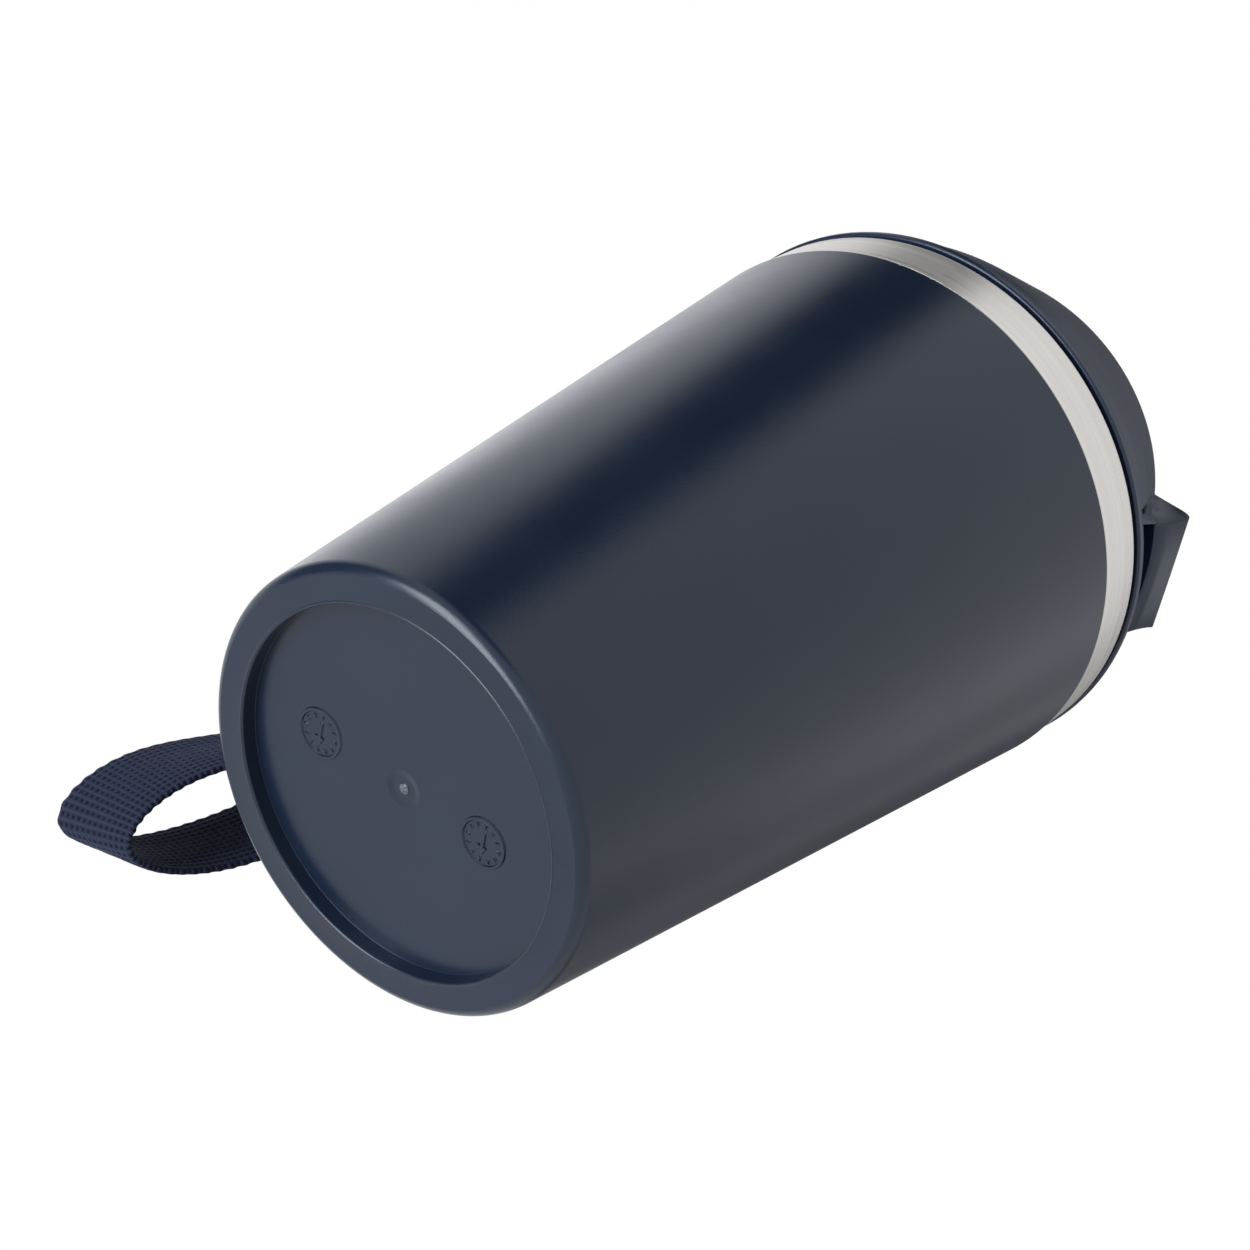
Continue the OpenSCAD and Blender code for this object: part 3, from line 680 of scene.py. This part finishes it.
high_z = LOW_TOP + np.linspace(0, 1, 9)[1:, None] * (edge_z - LOW_TOP)
high_r = wall_radius(high_z)
curl = lean + (np.pi / 2 - lean) * np.linspace(0, 1, 10)[1:, None]
curl_r, curl_z = TOP_R + TOP_ROUND * np.cos(curl), ring_z + TOP_ROUND * np.sin(curl)
cap_r = TOP_R * np.linspace(1, 0, 14)[1:, None] + 0 * front_angle
cap_z = TOP_Z + SLOPE * cap_r * ahead

ceiling_r = CEILING_R * np.linspace(0, 1, 10)[:, None] + 0 * front_angle
ceiling_z = CEILING_Z + SLOPE * ceiling_r * ahead
inner_share = np.linspace(0, 1, 40)[:, None]
inner_z = (edge_z - INNER_DROP) + inner_share * (COVER_Z - edge_z + INNER_DROP)
inner_r = wall_radius(inner_z) - WALL
pad = (inner_r * side < PAD_HALF) & (ahead > 0) & (inner_z < PAD_TOP)
pad_r = np.minimum(inner_r, PAD_Y / np.maximum(ahead, PAD_AHEAD))
inner_r = np.where(pad, pad_r, inner_r)

cover_r = np.concatenate([ceiling_r, inner_r, outer_r, high_r, curl_r, cap_r])
cover_z = np.concatenate([ceiling_z, inner_z, outer_z, high_z, curl_z, cap_z])
cover_grid = np.stack([cover_r * np.sin(front_angle), -cover_r * ahead, cover_z], axis=-1)
cover_mesh = make_mesh("cover", [quads_over(cover_grid, wrap_columns=True)], COVER_SHARP)
print("cover grid", cover_grid.shape)

# %% [markdown]
# ### Slots for the hinge ears
# The lid's two ears stand in slots in the cover's back wall. A slot is cut with a Boolean
# modifier, and the cut mesh is kept in place of the modifier. The cutter is a flat outline,
# a box with a round end, carried straight through the wall. Between the slots the cover has a
# knuckle: a short tube round the hinge pin.

# %% Cover slots and knuckle
HINGE_Y, HINGE_Z = 38.35, 120.4
SLOT_NEAR, SLOT_FAR, SLOT_ROUND = 7.25, 9.55, 2.55
SLOT_IN, SLOT_OUT, SLOT_LOW = 35.8, 47.0, 114.4
KNUCKLE_R, KNUCKLE_BORE = 2.2, 1.05


def outline_block(outline, ends):
    """A closed outline in Y and Z carried along X between two ends.

    Both ends are filled by a fan to the outline's middle."""
    middle = outline.mean(axis=0)
    lines = np.stack([0 * outline + middle, outline, outline, 0 * outline + middle])
    places = np.array([ends[0], ends[0], ends[1], ends[1]], float)
    across = places[:, None] + 0 * lines[:, :, 0]
    points = np.concatenate([across[:, :, None], lines], axis=-1)
    return quads_over(points, wrap_columns=True)


bend = np.linspace(0, np.pi, 25)
slot_outline = np.concatenate([
    [(SLOT_IN, SLOT_LOW), (SLOT_OUT, SLOT_LOW), (SLOT_OUT, HINGE_Z)],
    np.stack([HINGE_Y + SLOT_ROUND * np.cos(bend),
              HINGE_Z + SLOT_ROUND * np.sin(bend)], axis=1)])
slot_ends = ((SLOT_NEAR, SLOT_FAR), (-SLOT_FAR, -SLOT_NEAR))
slot_grids = [outline_block(slot_outline, ends) for ends in slot_ends]
cutter = new_object("cutter", make_mesh("cutter", slot_grids))
blank = new_object("blank", cover_mesh)
cut = blank.modifiers.new("slots", "BOOLEAN")
cut.object = cutter
cut.solver = "EXACT"
cut_cover = blank.evaluated_get(bpy.context.evaluated_depsgraph_get())
cut_mesh = bpy.data.meshes.new_from_object(cut_cover)
cut_mesh.set_sharp_from_angle(angle=np.radians(COVER_SHARP))
bpy.data.objects.remove(blank)
bpy.data.objects.remove(cutter)
add_piece("cover_dome", cut_mesh, "cover", lid_plastic, ["flip_cover"])

knuckle_corners = [(KNUCKLE_BORE, 0), (KNUCKLE_BORE, -SLOT_NEAR), (KNUCKLE_R, -SLOT_NEAR),
                   (KNUCKLE_R, SLOT_NEAR), (KNUCKLE_BORE, SLOT_NEAR), (KNUCKLE_BORE, 0)]
knuckle_profile = rounded(knuckle_corners, [0, 0.1, 0.3, 0.3, 0.1, 0], 5)
knuckle_points, knuckle_quads = revolve(knuckle_profile, 64)
knuckle_points = knuckle_points[:, [2, 0, 1]] + [0, HINGE_Y, HINGE_Z]
add_piece("cover_knuckle", make_mesh("cover_knuckle", [(knuckle_points, knuckle_quads)]),
          "cover", lid_plastic)

# %% [markdown]
# ## The strap
# The strap is a band of woven webbing, sewn into a loop round the bar. Its route follows the
# CAD route: a cubic B-spline with control points measured from the bar, each with the turn of
# the webbing's width in degrees. The band starts under the lap, goes down one strand and up the
# other, passes over the bar and lies on its own start, where it is sewn. A flat section with
# ribs is carried along that route. An attribute holds each point's place across, along and
# through the band, for the weave's pattern.

# %% Strap route
BAR = np.array([0.0, 41.8, 115.6])
WRAP_R, BAND_W, BAND_T, LAYER_GAP = 1.95, 14.2, 1.3, 0.08
LAP_START, LAP_END, FINE_STEP, STEP = 5.0, 24.0, 0.25, 0.42
controls = np.array([
    [0, WRAP_R, 0, 0], [1.0, 2.9, -6, 5], [8.9, 8.4, -19, 19], [19.5, 3.5, -39, 36],
    [31, -2.5, -58.5, 52], [34.5, -0.5, -80.5, 65], [32, 9.5, -102.5, 72], [38.5, 8, -120, 72],
    [48.5, 3, -102.5, 79], [42.5, -6, -75, 74], [30.5, -4, -48, 56], [13.5, 4, -24.5, 29],
    [1, 0.6, -7, 5], [0, -WRAP_R, 0, 0]], float)


def spline(points, steps):
    """Uniform cubic B-spline through the first and last point.

    Each span weighs four neighbours by (1-t)^3, 3t^3-6t^2+4, -3t^3+3t^2+3t+1 and t^3, over 6."""
    knots = np.concatenate([[2 * points[0] - points[1]], points, [2 * points[-1] - points[-2]]])
    t = np.linspace(0, 1, steps, endpoint=False)[:, None]
    weights = np.concatenate([
        (1 - t) ** 3, 3 * t ** 3 - 6 * t ** 2 + 4,
        -3 * t ** 3 + 3 * t ** 2 + 3 * t + 1, t ** 3], axis=1) / 6
    spans = np.stack([knots[i:len(points) - 1 + i] for i in range(4)], axis=1)
    curve = np.einsum("tk,skd->std", weights, spans).reshape(-1, points.shape[1])
    return np.concatenate([curve, points[-1:]])


def respaced(path, step):
    """The same path with points at equal distances along it."""
    pieces = np.linalg.norm(np.diff(path[:, :3], axis=0), axis=1)
    length = np.concatenate([[0], np.cumsum(pieces)])
    wanted = np.linspace(0, length[-1], int(length[-1] / step) + 1)
    return np.stack([np.interp(wanted, length, column) for column in path.T], axis=1)


over = np.linspace(np.pi, 0, 40)[1:]
wrap = np.stack([0 * over, WRAP_R * np.cos(over), WRAP_R * np.sin(over), 0 * over], axis=1)
down = respaced(spline(controls, 40), FINE_STEP)
travel = np.arange(len(down)) * FINE_STEP
under_lap, lap = travel >= LAP_START, (travel > 0) & (travel < LAP_END)
route = np.concatenate([down[under_lap], wrap, down[lap]])
lap_lift = (BAND_T + LAYER_GAP) * soft_step(travel[lap], 0.5, LAP_START + 1.5)
lift = np.concatenate([np.zeros(under_lap.sum() + len(wrap)), lap_lift])
route = respaced(np.concatenate([route, lift[:, None]], axis=1), STEP)
print("strap length", round(len(route) * STEP, 1), "mm")

# %% Strap surface
RIBS, PICK, RIB_DEPTH, EDGE_WAVE = 13.0, 1.04, 0.05, 0.15
SECTION_POINTS, WIDTH_POWER, DEPTH_POWER = 132, 0.55, 0.35

centre = route[:, :3] + BAR
along = np.gradient(centre, axis=0)
along /= np.linalg.norm(along, axis=1, keepdims=True)
twist = np.radians(route[:, 3])
wide = np.stack([np.cos(twist), np.sin(twist), 0 * twist], axis=1)
wide -= (wide * along).sum(1, keepdims=True) * along
wide /= np.linalg.norm(wide, axis=1, keepdims=True)
thick = np.cross(along, wide)
outward = thick * np.sign((thick[:1] * [0, 1, 0]).sum())
centre = centre + outward * route[:, 4:5]

around = np.linspace(0, 2 * np.pi, SECTION_POINTS, endpoint=False)
flat_u = np.sign(np.cos(around)) * np.abs(np.cos(around)) ** WIDTH_POWER
flat_v = np.sign(np.sin(around)) * np.abs(np.sin(around)) ** DEPTH_POWER
distance = np.arange(len(route))[:, None] * STEP
across_mm = flat_u[None, :] * (BAND_W / 2 + EDGE_WAVE * np.sin(np.pi * distance / PICK))
rib = RIB_DEPTH * np.cos(2 * np.pi * RIBS * across_mm / BAND_W) * np.abs(flat_v) * np.sign(flat_v)
depth_mm = flat_v[None, :] * (BAND_T / 2 - RIB_DEPTH) + rib
band = (centre[:, None, :] + across_mm[:, :, None] * wide[:, None, :]
        + depth_mm[:, :, None] * thick[:, None, :])
caps = [end * 0 + end.mean(axis=1, keepdims=True) for end in (band[:1], band[-1:])]
band = np.concatenate([caps[0], band, caps[1]])
weave_at = np.stack([across_mm, distance + 0 * across_mm, depth_mm], axis=-1)
weave_at = np.concatenate([weave_at[:1], weave_at, weave_at[-1:]])
print("strap grid", band.shape)

# %% [markdown]
# ### The weave
# Close up, webbing is a grid of small pits. Bars run across the band, one for each pick of
# the weave, and lower bridges along the ribs join bar to bar. The size of a cosine along the
# band gives the bars, another across it gives the bridges, and the larger of the two is the
# yarn's height. The base colour follows that height: the yarn's navy on top, and painted shade,
# near black, in the pits. A noise adds the fuzz.

# %% Webbing material
WAVE_POWER, BRIDGE, PIT_POWER, FUZZ = 0.9, 0.82, 1.6, 0.5
webbing, tree, shader = new_material("webbing")
place = tree.nodes.new("ShaderNodeAttribute")
place.attribute_name = "weave"
parts = tree.nodes.new("ShaderNodeSeparateXYZ")
tree.links.new(place.outputs["Vector"], parts.inputs[0])


def yarn_wave(position, per_mm):
    """Rounded bars side by side: the size of the cosine, to a power that broadens it."""
    phase = math_node(tree, "MULTIPLY", position, float(np.pi) * per_mm)
    size = math_node(tree, "ABSOLUTE", math_node(tree, "COSINE", phase))
    return math_node(tree, "POWER", size, WAVE_POWER)


bridges = math_node(tree, "MULTIPLY", yarn_wave(parts.outputs["X"], RIBS / BAND_W), BRIDGE)
bars = yarn_wave(parts.outputs["Y"], 1 / PICK)
yarn = math_node(tree, "POWER", math_node(tree, "MAXIMUM", bridges, bars), PIT_POWER)
fuzz = noise_node(tree, place.outputs["Vector"], 3.0, 3.0, 0.65)
# Painted shade: the colour falls from the yarn's navy on top to near black in the pits between the
# yarns.
yarn_and_pit_shade = tone(tree, yarn, (0.001, 0.0014, 0.004), (0.026, 0.031, 0.058))
tree.links.new(yarn_and_pit_shade, shader.inputs["Base Color"])
tree.links.new(spread(tree, fuzz, 0.62, 0.82), shader.inputs["Roughness"])
shader.inputs["Specular IOR Level"].default_value = 0.08
shader.inputs["Sheen Weight"].default_value = 0.12
shader.inputs["Sheen Roughness"].default_value = 0.45
shader.inputs["Sheen Tint"].default_value = (0.32, 0.38, 0.66, 1)
fuzzy = math_node(tree, "ADD", yarn, math_node(tree, "MULTIPLY", fuzz, FUZZ))
bump(tree, shader, fuzzy, 0.00022)
print("webbing:", len(tree.nodes), "nodes")

# %% Strap piece
strap_mesh = make_mesh("carry_strap", [quads_over(band, wrap_columns=True)], None, weave_at)
strap = add_piece("carry_strap_band", strap_mesh, "carry_strap", webbing, ["strap"])

# %% [markdown]
# ## The CAD pieces that stay
# The collar, the plate, the stoppers, the pins and the hidden ring have the right shape already.
# They only get their finish.

# %% Finishes on the CAD nodes
kept = {"lid_collar": lid_plastic, "cover_plate": lid_plastic, "drink_stopper": silicone,
        "vent_stopper": silicone, "hinge_pin": pin_steel, "strap_bar": pin_steel,
        "cup_ring": silicone}
for node, material in kept.items():
    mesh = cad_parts[node].data
    mesh.materials.clear()
    mesh.materials.append(material)
print("kept CAD nodes:", list(kept))

# %% [markdown]
# ## The studio
# A pale floor lies under the standing mug. The picture is taken from below that floor, so the
# floor shows only to a camera above it; from below it is clear. The world is white where the
# camera looks at it, nearly white in a reflection or through glass, and a soft grey as light.

# %% Floor and world
FLOOR_HALF, FLOOR_Z = 3, -0.0003


def show_by(tree, shader, factor):
    """The material shows the shader where the factor is 1 and is clear where it is 0."""
    clear = tree.nodes.new("ShaderNodeBsdfTransparent")
    mixed = choose(tree, factor, clear.outputs[0], shader.outputs[0])
    tree.links.new(mixed, tree.nodes["Material Output"].inputs["Surface"])


def sky(tree, colour, strength):
    """A plain background of one colour."""
    node = tree.nodes.new("ShaderNodeBackground")
    node.inputs["Color"].default_value = (*colour, 1)
    node.inputs["Strength"].default_value = strength
    return node.outputs[0]


floor_corners = [(x * FLOOR_HALF, y * FLOOR_HALF, FLOOR_Z)
                 for x, y in ((-1, -1), (1, -1), (1, 1), (-1, 1))]
floor_mesh = bpy.data.meshes.new("floor")
floor_mesh.from_pydata(floor_corners, [], [(0, 1, 2, 3)])
floor = new_object("floor", floor_mesh)
floor_paint, tree, shader = new_material("floor_paint")
shader.inputs["Base Color"].default_value = (0.86, 0.86, 0.86, 1)
shader.inputs["Roughness"].default_value = 0.9
path = tree.nodes.new("ShaderNodeLightPath")
facing = tree.nodes.new("ShaderNodeNewGeometry")
from_above = math_node(tree, "SUBTRACT", 1.0, facing.outputs["Backfacing"])
show_by(tree, shader, math_node(tree, "MULTIPLY", path.outputs["Is Camera Ray"], from_above))
floor_mesh.materials.append(floor_paint)

world = bpy.data.worlds.new("studio")
bpy.context.scene.world = world
world.use_nodes = True
tree = world.node_tree
tree.nodes.clear()
path = tree.nodes.new("ShaderNodeLightPath")
mirrored = math_node(tree, "MAXIMUM", path.outputs["Is Glossy Ray"],
                     path.outputs["Is Transmission Ray"])
as_light, in_mirror = sky(tree, (0.95, 0.97, 1.0), 0.45), sky(tree, (0.955, 0.98, 1.02), 1.0)
unseen = choose(tree, mirrored, as_light, in_mirror)
backdrop = choose(tree, path.outputs["Is Camera Ray"], unseen, sky(tree, (1, 1, 1), 1.0))
world_output = tree.nodes.new("ShaderNodeOutputWorld")
tree.links.new(backdrop, world_output.inputs["Surface"])
bpy.context.scene.view_settings.view_transform = "Standard"
print("floor", 2 * FLOOR_HALF, "m wide, world", world.name)

# %% [markdown]
# ### A dark curtain between white walls
# Glossy plastic shows its shape by what it mirrors. In an all-white room it looks flat, so
# photographers hang a dark cloth between the white walls; it draws one long dark line down the
# mug and keeps the lid dark. Here the cloth is a sheet of directions from the mug. Each has a
# rise from the line of sight, from far below it to past the picture's upright, and a share of
# the picture's right. Both edges fade out at places that change with the rise, so the line is
# soft. A dark card at the upper left does the same for the foot's rounded edge. Only
# reflections see cloth and card: the camera looks through them and they take no light away.

# %% Curtain
CURTAIN_R, MUG_MIDDLE = 1.2, np.array([0, 0, 0.06])
CARD_HALF_RISE, CARD_HALF_WIDTH, CARD_DENSITY, CARD_SOFT = 0.62, 0.6, 0.92, 0.6

rise_deg = np.linspace(-82, 150, 94)[:, None]
sideways = np.linspace(-0.14, 1.7, 93)[None, :]
near_rise = [-12, 2, 10, 20, 36, 58]
near_from = np.interp(rise_deg, near_rise, [-0.12, 0.0, 0.0, -0.1, -0.1, -0.12])
near_to = np.interp(rise_deg, near_rise, [0.14, 0.28, 0.28, 0.24, 0.24, 0.07])
far_rise = [-60, -52, -45, -30, -15, 35, 55]
far_from = np.interp(rise_deg, far_rise, [0.92, 0.9, 0.56, 0.64, 0.80, 0.80, 0.33])
far_to = np.interp(rise_deg, far_rise, [1.68, 1.6, 1.07, 1.23, 1.56, 1.56, 0.50])
core = np.interp(rise_deg, [-62, -52, -38, -24, -15, 15, 34, 46],
                 [0.55, 0.85, 0.7, 0.85, 0.92, 0.9, 0.8, 1.0])
thin = np.interp(rise_deg, [-30, -20, -8, 0], [0.16, 0.3, 0.3, 0.16])
thin_from = np.interp(rise_deg, [-8, 0], [0.3, 0.4])
density = soft_step(sideways, near_from, near_to) * (1 - soft_step(sideways, far_from, far_to))
density *= core * (1 - thin * soft_step(sideways, thin_from, thin_from + 0.22))
density *= soft_step(rise_deg, -80, -66) * (1 - soft_step(rise_deg, 136, 150))
rise = np.radians(rise_deg)[:, :, None]
hang = np.cos(rise) * view_forward - np.sin(rise) * view_down + sideways[:, :, None] * view_right

card_u, card_v = np.linspace(-1, 1, 41)[:, None], np.linspace(-1, 1, 41)[None, :]
card_middle = -0.85 * view_right - 0.52 * view_down + 0.05 * view_forward
card_rise = 0.49 * view_right - 0.67 * view_down + 0.55 * view_forward
card_across = np.cross(card_middle, card_rise)
card = (card_middle + CARD_HALF_RISE * card_u[:, :, None] * card_rise
        + CARD_HALF_WIDTH * card_v[:, :, None] * card_across)
card_density = CARD_DENSITY * (1 - soft_step(np.abs(card_u), CARD_SOFT, 1))
card_density = card_density * (1 - soft_step(np.abs(card_v), CARD_SOFT, 1))

curtain_points, curtain_quads = joined([
    quads_over(sheet * CURTAIN_R + MUG_MIDDLE) for sheet in (hang, card)])
curtain_mesh = bpy.data.meshes.new("curtain")
curtain_mesh.from_pydata(curtain_points.tolist(), [], curtain_quads.tolist())
cloth = curtain_mesh.attributes.new("cloth", "FLOAT", "POINT")
cloth_values = np.concatenate([density.reshape(-1), card_density.reshape(-1)])
cloth.data.foreach_set("value", cloth_values.astype(np.float32))
curtain_cloth, tree, shader = new_material("curtain_cloth")
shader.inputs["Base Color"].default_value = (0.015, 0.015, 0.016, 1)
shader.inputs["Roughness"].default_value = 1.0
weight = tree.nodes.new("ShaderNodeAttribute")
weight.attribute_name = "cloth"
show_by(tree, shader, weight.outputs["Fac"])
curtain_mesh.materials.append(curtain_cloth)
curtain = new_object("curtain", curtain_mesh)
curtain.visible_camera = False
curtain.visible_diffuse = False
curtain.visible_shadow = False
print("curtain", len(curtain_points), "points")

# %% [markdown]
# ### Lamps
# Four soft lamps fill in. The window stands far under the floor, at the picture's left; its
# reflection draws the light lines along the foot and the recess's lip. A weak rim lamp behind
# the mug is mirrored too. The front lamp, which stands wholly under the floor as well, and the
# top lamp only lift the shade, so reflections don't show them.

# %% Lamps
def soft_lamp(name, towards, distance, size, power, mirrored=False, colour=(1.0, 1.0, 1.0)):
    """A rectangular area lamp that faces the mug's middle.

    Its second side lies along the picture's upright, as near as facing the mug allows."""
    towards = np.asarray(towards, float) / np.linalg.norm(towards)
    across = np.cross(-view_down, towards)
    across /= np.linalg.norm(across)
    lamp = bpy.data.lights.new(name, "AREA")
    lamp.shape = "RECTANGLE"
    lamp.size, lamp.size_y = size
    lamp.energy = power
    lamp.color = colour
    thing = new_object(name, lamp)
    thing.matrix_world = axes_matrix(across, np.cross(towards, across), towards,
                                     MUG_MIDDLE + towards * distance)
    thing.visible_glossy = mirrored
    return thing


to_window = -0.68 * view_right - 0.12 * view_down - 0.65 * view_forward
to_rim = view_forward - 0.42 * view_down - 0.31 * view_right
to_front = 0.5 * view_right - 0.4 * view_down - view_forward
to_top = (0.2, -0.3, 1.0)
lamps = [
    soft_lamp("window", to_window, 0.9, (0.42, 0.86), 10.5, True, (0.86, 0.93, 1.0)),
    soft_lamp("rim", to_rim, 1.1, (0.42, 0.55), 0.23, True),
    soft_lamp("front", to_front, 0.9, (0.15, 0.2), 1.2),
    soft_lamp("top", to_top, 0.9, (0.6, 0.6), 1.6)]
print("lamps:", [(lamp.name, lamp.data.energy) for lamp in lamps])
